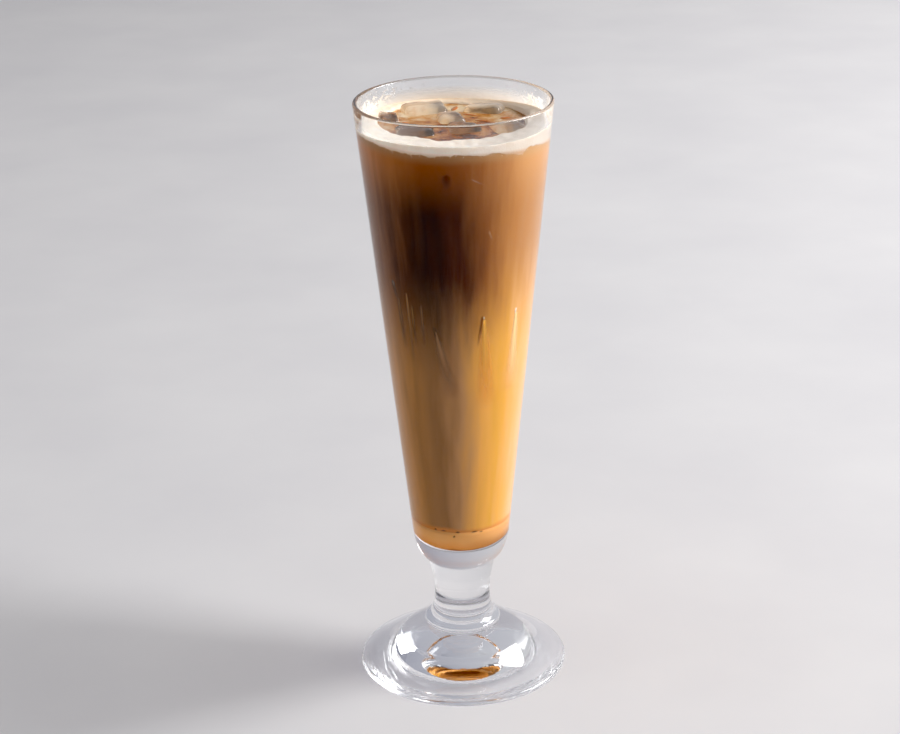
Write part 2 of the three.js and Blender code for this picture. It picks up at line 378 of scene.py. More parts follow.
# The emission is a painted glow, for light scattered in the cloudy ice.
ice = node(tree, "ShaderNodeBsdfPrincipled", {
    "Base Color": linear("#f8eee2"),
    "Roughness": 0.04,
    "IOR": 1.31,
    "Transmission Weight": clearness.outputs["Result"],
    "Emission Color": linear("#e6d2ba"),
    "Emission Strength": 0.06,
    "Normal": bump.outputs["Normal"],
})
clear_surface(tree, ice.outputs["BSDF"], linear("#f8f6f4"))


def evaluated_mesh(made):
    """A plain copy of a piece's mesh with its modifiers applied."""
    return bpy.data.meshes.new_from_object(made.evaluated_get(bpy.context.evaluated_depsgraph_get()))


def melted(name):
    """Vertices and faces of a cube of the frame, remeshed finely, smoothed and dented by melting."""
    rough = bpy.data.objects.new("rough_ice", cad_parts[name].data.copy())
    bpy.context.scene.collection.objects.link(rough)
    remesh = rough.modifiers.new("fine", "REMESH")
    remesh.mode = "VOXEL"
    remesh.voxel_size = ICE_VOXEL
    soften = rough.modifiers.new("soft", "SMOOTH")
    soften.iterations = 6
    fine = evaluated_mesh(rough)
    bpy.data.objects.remove(rough)
    vertices = np.array([v.co for v in fine.vertices])
    normals = np.array([v.normal for v in fine.vertices])
    depth = [noise.noise(Vector(v) / (ICE_DENT_SPAN * MM)) - 0.2 for v in vertices]
    vertices += normals * np.array(depth)[:, None] * ICE_DENT * MM
    return vertices, [tuple(p.vertices) for p in fine.polygons]


cubes = {}
for name in ICE_NODES:
    cubes[name] = piece(f"cube_of_{name}", *melted(name), wet_ice, "ice")
    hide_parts(name)


# Coffee over milk
# Espresso poured over cold milk: golden milky coffee below, dark coffee above, with plumes of milk
# that rise between them. One body of drink that fills the glass up to the foam.
MILK_TOP_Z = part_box("milk_layer")[1].z / MM
COFFEE_TOP_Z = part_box("coffee_layer")[1].z / MM
DRINK_SIDES = 192
DRINK_ROWS = 40
ICE_REACH = 0.15
POCKET_DEPTH = 2.6
FOAM_BOTTOM_Z = 227.9
FOAM_RIGHT_SAG = 2.7
FOAM_LEFT_LIFT = 1.6
STREAK_SPAN = 4.55
FINE_STREAK_SPAN = 1.43
SWIRL_SPAN = 20.0
BLEND_BELOW = 16.0
BLEND_ABOVE = 34.0
AMBER_DEPTH = 28.0


def height_over_foam_edge(tree, place):
    """Adds nodes that give the height over the foam's lower edge, in mm, at a place in the glass."""
    in_mm = node(tree, "ShaderNodeVectorMath", {0: place, "Scale": 1 / MM}, operation="SCALE")
    axes = node(tree, "ShaderNodeSeparateXYZ", {"Vector": in_mm.outputs["Vector"]})
    across = node(tree, "ShaderNodeMath", {
        0: axes.outputs["X"],
        1: cavity_radius(FOAM_BOTTOM_Z),
    }, operation="DIVIDE")
    size = node(tree, "ShaderNodeMath", {0: across.outputs[0]}, operation="ABSOLUTE")
    square = node(tree, "ShaderNodeMath", {0: across.outputs[0], 1: size.outputs[0]}, operation="MULTIPLY")
    even = (FOAM_RIGHT_SAG + FOAM_LEFT_LIFT) / 2
    tilted = node(tree, "ShaderNodeMath", {
        0: square.outputs[0],
        1: even,
        2: axes.outputs["Z"],
    }, operation="MULTIPLY_ADD")
    over = node(tree, "ShaderNodeMath", {0: tilted.outputs[0], 1: FOAM_BOTTOM_Z}, operation="SUBTRACT")
    return over.outputs[0]


# Espresso over milk: opaque behind the wall, golden below, almost black above and amber under the
# foam, with the streaks that pouring leaves. Round the glass the tones carry painted light and shade:
# lit on the right towards the key light, darkest at the front left, and lighter again at the left edge.
espresso_and_milk, tree = material_of("espresso over milk")
place = node(tree, "ShaderNodeTexCoord").outputs["Object"]
in_mm = node(tree, "ShaderNodeVectorMath", {0: place, "Scale": 1 / MM}, operation="SCALE")
axes = node(tree, "ShaderNodeSeparateXYZ", {"Vector": in_mm.outputs["Vector"]})
drawn_out = node(tree, "ShaderNodeMapping", {"Vector": in_mm.outputs["Vector"], "Scale": (1, 1, 0.05)})
streaks = node(tree, "ShaderNodeTexNoise", {
    "Vector": drawn_out.outputs["Vector"],
    "Scale": 1 / STREAK_SPAN,
    "Detail": 3.0,
})
swirls = node(tree, "ShaderNodeTexNoise", {
    "Vector": in_mm.outputs["Vector"],
    "Scale": 1 / SWIRL_SPAN,
    "Detail": 3.0,
})
squared = [
    node(tree, "ShaderNodeMath", {0: axes.outputs[axis], 1: axes.outputs[axis]}, operation="MULTIPLY")
    for axis in ("X", "Y")
]
squared_sum = node(tree, "ShaderNodeMath", {
    0: squared[0].outputs[0],
    1: squared[1].outputs[0],
}, operation="ADD")
radius = node(tree, "ShaderNodeMath", {0: squared_sum.outputs[0]}, operation="SQRT")
to_right = node(tree, "ShaderNodeMath", {0: axes.outputs["X"], 1: radius.outputs[0]}, operation="DIVIDE")

# Painted light: this share moves the tones towards their lit end on the side of the key light.
painted_light_share = node(tree, "ShaderNodeMapRange", {
    "Value": to_right.outputs[0],
    "From Min": -1.0,
    "From Max": 1.0,
    "To Min": -0.15,
    "To Max": 0.85,
})
streaks_and_painted_light = node(tree, "ShaderNodeMath", {
    0: streaks.outputs["Fac"],
    1: 0.3,
    2: painted_light_share.outputs["Result"],
}, operation="MULTIPLY_ADD")
milk_tone_painted_light = node(tree, "ShaderNodeValToRGB", {"Fac": streaks_and_painted_light.outputs[0]}, stops=[
    (0.05, linear("#eaa55c")),
    (0.18, linear("#c68c50")),
    (0.33, linear("#b27e4a")),
    (0.5, linear("#dca26a")),
    (0.67, linear("#fab356")),
    (0.82, linear("#e9a741")),
    (1.0, linear("#ecb277")),
])
coffee_tone_painted_light = node(tree, "ShaderNodeValToRGB", {"Fac": streaks_and_painted_light.outputs[0]}, stops=[
    (0.05, linear("#9a6238")),
    (0.18, linear("#5a2f15")),
    (0.33, linear("#2e1307")),
    (0.5, linear("#502109")),
    (0.67, linear("#985a28")),
    (0.82, linear("#b87a3e")),
    (1.0, linear("#b68352")),
])
fine_streaks = node(tree, "ShaderNodeTexNoise", {
    "Vector": drawn_out.outputs["Vector"],
    "Scale": 1 / FINE_STREAK_SPAN,
    "Detail": 2.0,
})
risen = node(tree, "ShaderNodeMapRange", {
    "Value": to_right.outputs[0],
    "From Min": 0.2,
    "From Max": 0.8,
    "To Min": -17.0,
    "To Max": -5.0,
}, interpolation_type="SMOOTHSTEP")
finger = node(tree, "ShaderNodeMath", {
    0: streaks.outputs["Fac"],
    1: 20.0,
    2: risen.outputs["Result"],
}, operation="MULTIPLY_ADD")
fingers = node(tree, "ShaderNodeMath", {
    0: fine_streaks.outputs["Fac"],
    1: 4.0,
    2: finger.outputs[0],
}, operation="MULTIPLY_ADD")
height = node(tree, "ShaderNodeMath", {
    0: axes.outputs["Z"],
    1: fingers.outputs[0],
}, operation="SUBTRACT")
coffee_share = node(tree, "ShaderNodeMapRange", {
    "Value": height.outputs[0],
    "From Min": MILK_TOP_Z - BLEND_BELOW,
    "From Max": MILK_TOP_Z + BLEND_ABOVE,
}, interpolation_type="SMOOTHSTEP")
drink_tone_painted_light = node(tree, "ShaderNodeMix", {
    "Factor": coffee_share.outputs["Result"],
    "A": milk_tone_painted_light.outputs["Color"],
    "B": coffee_tone_painted_light.outputs["Color"],
}, data_type="RGBA")
under_foam = node(tree, "ShaderNodeMapRange", {
    "Value": axes.outputs["Z"],
    "From Min": COFFEE_TOP_Z - AMBER_DEPTH,
    "From Max": COFFEE_TOP_Z + 2,
    "To Max": 0.9,
}, interpolation_type="SMOOTHSTEP")
glow = node(tree, "ShaderNodeValToRGB", {"Fac": streaks_and_painted_light.outputs[0]}, stops=[
    (0.05, linear("#f0984a")),
    (0.33, linear("#c4660f")),
    (0.6, linear("#b5682a")),
    (0.85, linear("#d69a5e")),
])
lit_tone = node(tree, "ShaderNodeMix", {
    "Factor": under_foam.outputs["Result"],
    "A": drink_tone_painted_light.outputs["Result"],
    "B": glow.outputs["Color"],
}, data_type="RGBA")
to_foam = node(tree, "ShaderNodeMapRange", {
    "Value": height_over_foam_edge(tree, place),
    "From Min": -4.5,
    "From Max": 0.3,
    "To Max": 0.8,
}, interpolation_type="SMOOTHSTEP")
frothy = node(tree, "ShaderNodeMix", {
    "Factor": to_foam.outputs["Result"],
    "A": lit_tone.outputs["Result"],
    "B": linear("#c79a68"),
}, data_type="RGBA")
low = node(tree, "ShaderNodeMath", {
    0: swirls.outputs["Fac"],
    1: 5.0,
    2: axes.outputs["Z"],
}, operation="MULTIPLY_ADD")
to_caramel = node(tree, "ShaderNodeMapRange", {
    "Value": low.outputs[0],
    "From Min": CARAMEL_TOP_Z + 3.4,
    "From Max": CARAMEL_TOP_Z + 5.2,
    "To Min": 0.9,
    "To Max": 0.0,
}, interpolation_type="SMOOTHSTEP")
sweet = node(tree, "ShaderNodeMix", {
    "Factor": to_caramel.outputs["Result"],
    "A": frothy.outputs["Result"],
    "B": linear("#d98a44"),
}, data_type="RGBA")
# Painted glow: the drink just over the caramel gives off a little light, for light scattered inside.
lit_below = node(tree, "ShaderNodeMath", {0: to_caramel.outputs["Result"], 1: 0.12}, operation="MULTIPLY")
drink = node(tree, "ShaderNodeBsdfPrincipled", {
    "Base Color": sweet.outputs["Result"],
    "Roughness": 0.4,
    "Specular IOR Level": 0.0,
    "Emission Color": linear("#d98a44"),
    "Emission Strength": lit_below.outputs[0],
})
surface(tree, drink.outputs["BSDF"])

# The open surface: a glossy skin of coffee, mottled with caramel and milk.
coffee_surface, tree = material_of("coffee surface")
place = node(tree, "ShaderNodeTexCoord").outputs["Object"]
stains = node(tree, "ShaderNodeTexNoise", {
    "Vector": place,
    "Scale": 1 / (7 * MM),
    "Detail": 5.0,
    "Roughness": 0.65,
})
axes = node(tree, "ShaderNodeSeparateXYZ", {"Vector": place})
paler = node(tree, "ShaderNodeMath", {
    0: axes.outputs["Y"],
    1: 0.005 / MM,
    2: stains.outputs["Fac"],
}, operation="MULTIPLY_ADD")
skin = node(tree, "ShaderNodeValToRGB", {"Fac": paler.outputs[0]}, stops=[
    (0.32, linear("#5a2c0c")),
    (0.42, linear("#a35c1a")),
    (0.54, linear("#c98a44")),
    (0.72, linear("#e8cfa8")),
])
froth = node(tree, "ShaderNodeTexVoronoi", {"Vector": place, "Scale": 1 / (1.1 * MM)})
bump = node(tree, "ShaderNodeBump", {
    "Height": froth.outputs["Distance"],
    "Strength": 0.25,
    "Distance": 0.3 * MM,
})
glossy = node(tree, "ShaderNodeBsdfPrincipled", {
    "Base Color": skin.outputs["Color"],
    "Roughness": 0.15,
    "IOR": 1.34,
    "Normal": bump.outputs["Normal"],
})
surface(tree, glossy.outputs["BSDF"])


# What shows through the ice: milky coffee, lit through the cubes. Its tone is painted shade and light:
# darkest at the front left, paler to the right and back.
milky_pocket, tree = material_of("milky coffee under ice")
place = node(tree, "ShaderNodeTexCoord").outputs["Object"]
swirl = node(tree, "ShaderNodeTexNoise", {"Vector": place, "Scale": 1 / (5 * MM), "Detail": 3.0})
to_back = node(tree, "ShaderNodeVectorMath", {0: place, 1: (8.0, 18.0, 0.0)}, operation="DOT_PRODUCT")
paler = node(tree, "ShaderNodeMath", {0: swirl.outputs["Fac"], 1: to_back.outputs["Value"]}, operation="ADD")
pale = node(tree, "ShaderNodeValToRGB", {"Fac": paler.outputs[0]}, stops=[
    (0.2, linear("#6e4e38")),
    (0.4, linear("#9d6a38")),
    (0.55, linear("#d2a470")),
    (0.75, linear("#ead5b6")),
])
under_ice = node(tree, "ShaderNodeBsdfPrincipled", {
    "Base Color": pale.outputs["Color"],
    "Roughness": 0.5,
    "Specular IOR Level": 0.0,
})
surface(tree, under_ice.outputs["BSDF"])


def cut(made, cutters):
    """Cuts the cutters' shape out of a piece."""
    for cutter in cutters:
        step = made.modifiers.new("pocket", "BOOLEAN")
        step.operation = "DIFFERENCE"
        step.solver = "EXACT"
        step.object = cutter
    whole = evaluated_mesh(made)
    made.modifiers.clear()
    made.data = whole
    made.data.shade_smooth()
    made.data.set_sharp_from_angle(angle=math.radians(40))


def shrunk(made, reach):
    """A cutter for a cube's pocket: its upper part, smaller all round by a reach."""
    copy = bpy.data.objects.new(f"{made.name}_core", made.data.copy())
    bpy.context.scene.collection.objects.link(copy)
    copy.data.materials.clear()
    for material in (espresso_and_milk, coffee_surface, milky_pocket):
        copy.data.materials.append(material)
    normals = [v.normal.copy() for v in copy.data.vertices]
    for vertex, normal in zip(copy.data.vertices, normals):
        vertex.co -= normal * reach
    upper = bmesh.new()
    upper.from_mesh(copy.data)
    bmesh.ops.bisect_plane(
        upper,
        geom=upper.verts[:] + upper.edges[:] + upper.faces[:],
        plane_co=(0, 0, (COFFEE_TOP_Z - POCKET_DEPTH) * MM),
        plane_no=(0, 0, 1),
        clear_inner=True,
    )
    bmesh.ops.holes_fill(upper, edges=upper.edges[:], sides=0)
    for face in upper.faces:
        face.material_index = 2
    upper.to_mesh(copy.data)
    upper.free()
    return copy


heights = np.linspace(CARAMEL_TOP_Z, COFFEE_TOP_Z, DRINK_ROWS)
outline = [(0.0, CARAMEL_TOP_Z)]
outline += [(cavity_radius(z) + WALL_REACH, z) for z in heights]
outline += [(cavity_radius(COFFEE_TOP_Z) * share, COFFEE_TOP_Z) for share in np.linspace(0.95, 0.1, 12)]
outline += [(0.0, COFFEE_TOP_Z)]
coffee = piece("coffee_over_milk", *turned(outline, DRINK_SIDES), espresso_and_milk, "dark_coffee")
coffee.data.materials.append(coffee_surface)
coffee.data.materials.append(milky_pocket)
for face in coffee.data.polygons:
    face.material_index = int(face.center.z > (COFFEE_TOP_Z - 0.01) * MM)
cores = [shrunk(cube, ICE_REACH * MM) for cube in cubes.values()]
cut(coffee, cores)
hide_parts("milk_layer", "coffee_layer")


# Smears
# Drops of caramel sauce that fell on the coffee and spread out beside the ice. They float, half sunk,
# as flat round-edged patches.
SMEAR_DEPTH = 0.25
# Place in mm from the axis to the right and to the back, length, width and turn in degrees
SMEARS = (
    (6.4, 15.2, 6.4, 2.0, -30),
    (20, 9.6, 4.2, 2.2, 15),
    (0.6, 25, 7.0, 2.2, 75),
    (-19.5, 5, 5.0, 1.6, 25),
    (11, 6, 6.0, 1.6, -15),
)

# Caramel sauce: deep orange with a wet shine.
caramel_sauce, tree = material_of("caramel sauce")
sauce = node(tree, "ShaderNodeBsdfPrincipled", {"Base Color": linear("#c4702c"), "Roughness": 0.15})
surface(tree, sauce.outputs["BSDF"])

ball = bmesh.new()
bmesh.ops.create_icosphere(ball, subdivisions=2, radius=1)
ball_points = np.array([v.co for v in ball.verts])
ball_faces = [[v.index for v in f.verts] for f in ball.faces]
ball.free()


def balls(name, places, material, slot):
    """One piece of balls, each given by a 3 x 3 matrix that shapes it and by its middle, in mm."""
    vertices, faces = [], []
    for shape, middle in places:
        faces += [[i + len(vertices) * len(ball_points) for i in face] for face in ball_faces]
        vertices.append(ball_points @ np.array(shape).T + middle)
    return piece(name, np.vstack(vertices) * MM, faces, material, slot)


smears = []
for x, y, length, width, turn in SMEARS:
    flat = Matrix.Diagonal((length / 2, width / 2, SMEAR_DEPTH))
    shape = Matrix.Rotation(math.radians(turn), 3, "Z") @ flat
    smears.append((shape, (x, y, COFFEE_TOP_Z)))
balls("caramel_smears", smears, caramel_sauce, "caramel_syrup")


# Threads
# Milk that rises through the coffee in threads with rounded heads, flattened against the wall, and
# flecks of burnt sugar that float on the caramel. Each thread thins out towards its tail.
THREAD_RINGS = 16
THREAD_SIDES = 12
THREAD_DEPTH = 0.1
THREAD_COVER = 0.95
# Azimuth in degrees, height of the head, length, half width at the head and how much more at the
# tail, lean to the right over the length, tone
MILK_THREADS = (
    (-143, 174.6, 8, 1.2, 0.6, 1.5, "#8a6240"),
    # Next row: a painted highlight on the head of the row before it.
    (-143, 174.4, 3.0, 1.1, -0.4, 0.6, "#fff0d0"),
    (-139, 168, 22, 1.0, 0.8, 1.2, "#a87848"),
    (-130, 171, 30, 0.7, 0.5, 0.4, "#c8925c"),
    (-126, 166, 18, 0.8, 0.5, 0.2, "#a87a4a"),
    (-118, 166.7, 18, 0.6, 0.5, 0.2, "#aa7a4e"),
    (-108.6, 157.8, 7, 1.0, -0.4, 1.4, "#8a643e"),
    (-107.8, 156.4, 30, 0.6, 4.5, 6.0, "#c89668"),
    (-70.4, 162.2, 13, 1.0, -0.3, -1.8, "#94561e"),
    (-69.4, 161.2, 40, 0.9, 5.0, 2.4, "#ffba52"),
    # Next row: a painted highlight on the head of the row before it.
    (-69.6, 161.9, 1.8, 0.55, -0.3, 0.0, "#fff0cc"),
    # Next row: a painted highlight on the head of the row after it.
    (-39.4, 162.4, 2.8, 0.8, -0.4, -0.4, "#fffae8"),
    (-39, 161, 34, 1.0, 4.2, 0.2, "#ffd898"),
    (-95.3, 221.0, 6.4, 2.5, -0.4, 0.0, "#82380f"),
    (-80, 218.6, 2.6, 0.3, 0.1, 4.6, "#e6bc98"),
    (-68, 197.2, 4.0, 0.3, 0.1, 1.6, "#dca878"),
    (22, 170, 24, 0.9, 2.0, 0.4, "#efb473"),
    (61, 164, 26, 1.0, 2.2, -0.6, "#e0a85e"),
    (104, 172, 22, 0.8, 1.6, 0.8, "#ae8050"),
    (149, 160, 24, 1.0, 1.8, -0.4, "#d09a5c"),
)
SUGAR_FLECKS = (
    (-123.3, 67.4, 1.0, 0.7, 0.0, 0.0, "#5c2a0c"),
    (-112.5, 67.3, 0.7, 1.5, 0.0, 0.0, "#7a3c14"),
    (-98.6, 65.1, 1.2, 0.6, 0.0, -0.4, "#6b300e"),
    (-94.5, 67.1, 1.0, 1.1, 0.0, 0.0, "#3c1606"),
    (-73.3, 66.9, 0.9, 1.6, 0.0, -0.3, "#3c1606"),
    (-64.7, 66.4, 0.7, 0.9, 0.0, 0.0, "#6b300e"),
    (40, 66.9, 0.9, 1.3, 0.0, 0.0, "#5c2a0c"),
    (118, 66.6, 0.9, 1.0, 0.0, 0.0, "#4a1e08"),
    (171, 67.0, 0.8, 1.2, 0.0, 0.0, "#5c2a0c"),
)


def thread_points(azimuth, head, length, half_width, spread, lean):
    """Rings of points of one flat thread against the wall, and how far each hides the drink."""
    points, covers = [], []
    bow = min(half_width, length / 2)
    for share in np.linspace(0.02, 0.98, THREAD_RINGS):
        down = share * length
        z = head - down
        blunt = math.sqrt(1 - max(0.0, 1 - down / bow) ** 2)
        wide = half_width * blunt + spread * share
        for side in range(THREAD_SIDES):
            turn = 2 * HALF_TURN * side / THREAD_SIDES
            r = cavity_radius(z) + WALL_REACH + THREAD_DEPTH * blunt * math.sin(turn)
            angle = math.radians(azimuth) + (wide * math.cos(turn) + lean * share) / r
            points.append((r * math.cos(angle), r * math.sin(angle), z))
            covers.append(THREAD_COVER * blunt * (1 - share ** 2) * math.sin(turn) ** 4)
    return points, covers


def threads(name, table, material, slot):
    """One piece of all the threads of a table, which carry their tone and how far they hide the drink."""
    points, faces, tones, covers = [], [], [], []
    for *place, tone in table:
        first = len(points)
        rings, hidden = thread_points(*place)
        points += rings
        tones += [linear(tone)] * len(rings)
        covers += hidden
        for row in range(THREAD_RINGS - 1):
            here, after = first + row * THREAD_SIDES, first + (row + 1) * THREAD_SIDES
            for side in range(THREAD_SIDES):
                next_side = (side + 1) % THREAD_SIDES
                faces.append((here + side, here + next_side, after + next_side, after + side))
        last = first + (THREAD_RINGS - 1) * THREAD_SIDES
        faces.append([first + side for side in range(THREAD_SIDES)][::-1])
        faces.append([last + side for side in range(THREAD_SIDES)])
    made = piece(name, np.array(points) * MM, faces, material, slot)
    tone_of = made.data.attributes.new("tone", "FLOAT_COLOR", "POINT")
    tone_of.data.foreach_set("color", np.array(tones).ravel())
    cover_of = made.data.attributes.new("cover", "FLOAT", "POINT")
    cover_of.data.foreach_set("value", covers)
    return made


# Milk and burnt sugar seen through the wall: matt, and clear at the tails.
thread_drink, tree = material_of("threads of milk and sugar")
tone = node(tree, "ShaderNodeAttribute", attribute_name="tone")
cover = node(tree, "ShaderNodeAttribute", attribute_name="cover")
thread = node(tree, "ShaderNodeBsdfPrincipled", {
    "Base Color": tone.outputs["Color"],
    "Roughness": 0.4,
    "Specular IOR Level": 0.0,
    "Alpha": cover.outputs["Fac"],
})
surface(tree, thread.outputs["BSDF"])
threads("milk_threads", MILK_THREADS, thread_drink, "milky_coffee")
threads("sugar_flecks", SUGAR_FLECKS, thread_drink, "caramel_syrup")


# Milk foam
# Cold milk frothed with the coffee. It clings to the wall in a cream ring of uneven width and depth,
# set with small bubbles, and leaves films and wisps on the glass above it.
FOAM_TOP_Z = 231.4
FOAM_BACK_WIDTH = 3.4
FOAM_FRONT_WIDTH = 11.2
FOAM_WIDTH_RIPPLE = 0.9
FOAM_RIGHT_RISE = 0.8
FOAM_UNEVENNESS = 0.3
FOAM_EDGE_DROP = 0.5
FOAM_SUNK = 1.6
FOAM_REACH = 0.3
FOAM_RAGGED = 0.8
FOAM_STEP_PLACE = -43.0
FOAM_STEP_SPAN = 7.0
FOAM_STEP_DROP = 1.2
FOAM_STEP_RISE = 2.0
FOAM_STEP_FADES = (20.0, 32.0)
FOAM_LUMP = 0.35
FOAM_LUMP_SPAN = 3.1
FOAM_SIDES = 320
FOAM_ROWS = 36
BUBBLE_SIZE = 0.9
BUBBLE_DEPTH = 0.22


def ragged(angle):
    """Unevenness of the foam's lower edge along the wall: coarse, fine, and a step at the front right."""
    coarse = noise.noise(Vector((9 * math.cos(angle), 9 * math.sin(angle), 0.5)))
    fine = noise.noise(Vector((32 * math.cos(angle), 32 * math.sin(angle), 7.5)))
    past = (math.degrees(angle) + 180) % 360 - 180 - FOAM_STEP_PLACE
    left = -FOAM_STEP_DROP * min(1.0, max(0.0, 1 + past / FOAM_STEP_FADES[0]))
    right = FOAM_STEP_RISE * min(1.0, max(0.0, 1 - past / FOAM_STEP_FADES[1]))
    step = left + (right - left) * min(1.0, max(0.0, past / FOAM_STEP_SPAN + 0.5))
    return FOAM_RAGGED * (coarse + 0.5 * fine) + step


def foam_section(angle):
    """The ring's section at an angle round the axis, as (radius, height) in mm."""
    front = (1 - math.sin(angle)) / 2
    right = max(0, math.cos(angle)) ** 2
    left = max(0, -math.cos(angle)) ** 2
    ripple = math.sin(5 * angle + 0.8) + 0.6 * math.sin(9 * angle + 2.1)
    top = FOAM_TOP_Z + FOAM_RIGHT_RISE * right + FOAM_UNEVENNESS * math.sin(3 * angle + 1)
    slope = FOAM_LEFT_LIFT * left - FOAM_RIGHT_SAG * right
    bottom = FOAM_BOTTOM_Z + slope + FOAM_UNEVENNESS * math.sin(4 * angle) + ragged(angle)
    width = FOAM_BACK_WIDTH + (FOAM_FRONT_WIDTH - FOAM_BACK_WIDTH) * front + FOAM_WIDTH_RIPPLE * ripple
    inner = cavity_radius(top) - width
    outer_bottom = cavity_radius(bottom) + FOAM_REACH
    outer_top = cavity_radius(top) + FOAM_REACH
    return [
        (outer_bottom, bottom),
        (outer_top, top),
        (outer_top - 0.4 * width, top - FOAM_EDGE_DROP / 2),
        (inner + 1, top - FOAM_EDGE_DROP),
        (inner, (COFFEE_TOP_Z + top) / 2 - FOAM_EDGE_DROP),
        (inner + 1, max(bottom, COFFEE_TOP_Z - FOAM_SUNK)),
        (outer_bottom, bottom),
    ]


def ring_faces(columns, rows):
    """Faces of a closed ring of columns, each a closed section with so many rows of points."""
    faces = []
    for column in range(columns):
        here, after = column * rows, (column + 1) % columns * rows
        for k in range(rows):
            up = (k + 1) % rows
            faces.append((here + k, after + k, after + up, here + up))
    return faces


def foam_mesh():
    """Vertices and faces of the ring, with fine bubbles pushed out of its free surface."""
    vertices = []
    for i in range(FOAM_SIDES):
        angle = 2 * HALF_TURN * i / FOAM_SIDES
        corners = np.array(foam_section(angle))
        lengths = np.concatenate([[0], np.cumsum(np.linalg.norm(np.diff(corners, axis=0), axis=1))])
        along = np.linspace(0, lengths[-1], FOAM_ROWS, endpoint=False)
        for s in along:
            r = np.interp(s, lengths, corners[:, 0])
            z = np.interp(s, lengths, corners[:, 1])
            free = min(1.0, max(0.0, (cavity_radius(z) - r) / 1.5))
            spot = Vector((r * math.cos(angle), r * math.sin(angle), z))
            near = noise.voronoi(spot / BUBBLE_SIZE)[0][0]
            rise = BUBBLE_DEPTH * (0.6 - near) + FOAM_LUMP * noise.noise(spot / FOAM_LUMP_SPAN)
            vertices.append((spot.x, spot.y, spot.z + free * rise))
    return np.array(vertices) * MM, ring_faces(FOAM_SIDES, FOAM_ROWS)


# Frothed milk: matt cream that light soaks into, stained with coffee at its lower edge and at the back.
milk_foam, tree = material_of("milk foam")
place = node(tree, "ShaderNodeTexCoord").outputs["Object"]
bubbles = node(tree, "ShaderNodeTexVoronoi", {"Vector": place, "Scale": 1 / (0.8 * MM)})
patches = node(tree, "ShaderNodeTexNoise", {"Vector": place, "Scale": 1 / (6 * MM), "Detail": 3.0})
cream = node(tree, "ShaderNodeValToRGB", {"Fac": patches.outputs["Fac"]}, stops=[
    (0.3, linear("#eee0d0")),
    (0.65, linear("#f8efe4")),
])
axes = node(tree, "ShaderNodeSeparateXYZ", {"Vector": place})
to_back = node(tree, "ShaderNodeMapRange", {
    "Value": axes.outputs["Y"],
    "From Min": 8 * MM,
    "From Max": 28 * MM,
    "To Max": 0.6,
})
stained = node(tree, "ShaderNodeMix", {
    "Factor": to_back.outputs["Result"],
    "A": cream.outputs["Color"],
    "B": linear("#e2c39c"),
}, data_type="RGBA")
# Painted shade: the foam is darkened towards the right, where the key light falls, to even out its light.
to_right = node(tree, "ShaderNodeMapRange", {
    "Value": axes.outputs["X"],
    "From Min": 0.0,
    "From Max": 36 * MM,
    "To Max": 0.75,
})
shaded = node(tree, "ShaderNodeMix", {
    "Factor": to_right.outputs["Result"],
    "A": stained.outputs["Result"],
    "B": linear("#a09282"),
}, data_type="RGBA")
above_edge = node(tree, "ShaderNodeMapRange", {
    "Value": height_over_foam_edge(tree, place),
    "From Min": -0.6,
    "From Max": 1.4,
}, interpolation_type="SMOOTHSTEP")
faded = node(tree, "ShaderNodeMix", {
    "Factor": above_edge.outputs["Result"],
    "A": linear("#b98a5a"),
    "B": shaded.outputs["Result"],
}, data_type="RGBA")
bump = node(tree, "ShaderNodeBump", {
    "Height": bubbles.outputs["Distance"],
    "Strength": 0.3,
    "Distance": 0.2 * MM,
})
# The emission is a painted glow, for light scattered through the froth.
froth = node(tree, "ShaderNodeBsdfPrincipled", {
    "Base Color": faded.outputs["Result"],
    "Roughness": 0.55,
    "Subsurface Weight": 0.7,
    "Subsurface Radius": (1.0, 0.85, 0.7),
    "Subsurface Scale": 2 * MM,
    "Emission Color": linear("#ffe9d2"),
    "Emission Strength": 0.2,
    "Normal": bump.outputs["Normal"],
})
surface(tree, froth.outputs["BSDF"])

foam = piece("milk_foam", *foam_mesh(), milk_foam, "milk_foam")
cut(foam, cores)
foam.data.materials.clear()
foam.data.materials.append(milk_foam)
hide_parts("foam_ring")
for core in cores:
    bpy.data.objects.remove(core)

# Film that drained down the wall: a cream veil at the back, a haze at the front, white wisps at both sides.
FILM_COLUMNS = 480
FILM_ROWS = 32
FILM_LOW_Z = FOAM_TOP_Z - 0.6
FILM_HIGH_Z = FOAM_TOP_Z + 7.4
FILM_DEPTH = 0.12
VEIL_HEIGHT = 5.0
VEIL_COVER = 0.85
HAZE_HEIGHT = 7.0
HAZE_COVER = 0.4
WISP_SPAN = 2.4
WISP_PLACES = ((math.radians(152), 0.42), (math.radians(28), 0.26))


def film_thickness(angle, z):
    """How much of the wall the film hides at a spot, from 0 to 1, for an angle from minus to plus pi."""
    up = (z - FOAM_TOP_Z) / VEIL_HEIGHT
    back = max(0.0, math.sin(angle)) ** 0.6
    veil = VEIL_COVER * back * min(1.0, max(0.0, 1 - up))
    spot = Vector((36 * math.cos(angle), 36 * math.sin(angle), 1.4 * z)) / WISP_SPAN
    ragged_up = up - 0.9 * noise.fractal(spot, 0.7, 2.0, 4)
    haze_up = min(1.0, max(0.0, 1 - (z - FOAM_TOP_Z) / HAZE_HEIGHT))
    haze = HAZE_COVER * abs(math.cos(angle)) ** 1.5 * haze_up if angle < 0 else 0.0
    near = max(math.exp(-((angle - place) / width) ** 2) for place, width in WISP_PLACES)
    wisp = near * min(1.0, max(0.0, 2.2 - 2.6 * ragged_up))
    return min(0.95, max(veil, wisp, haze))


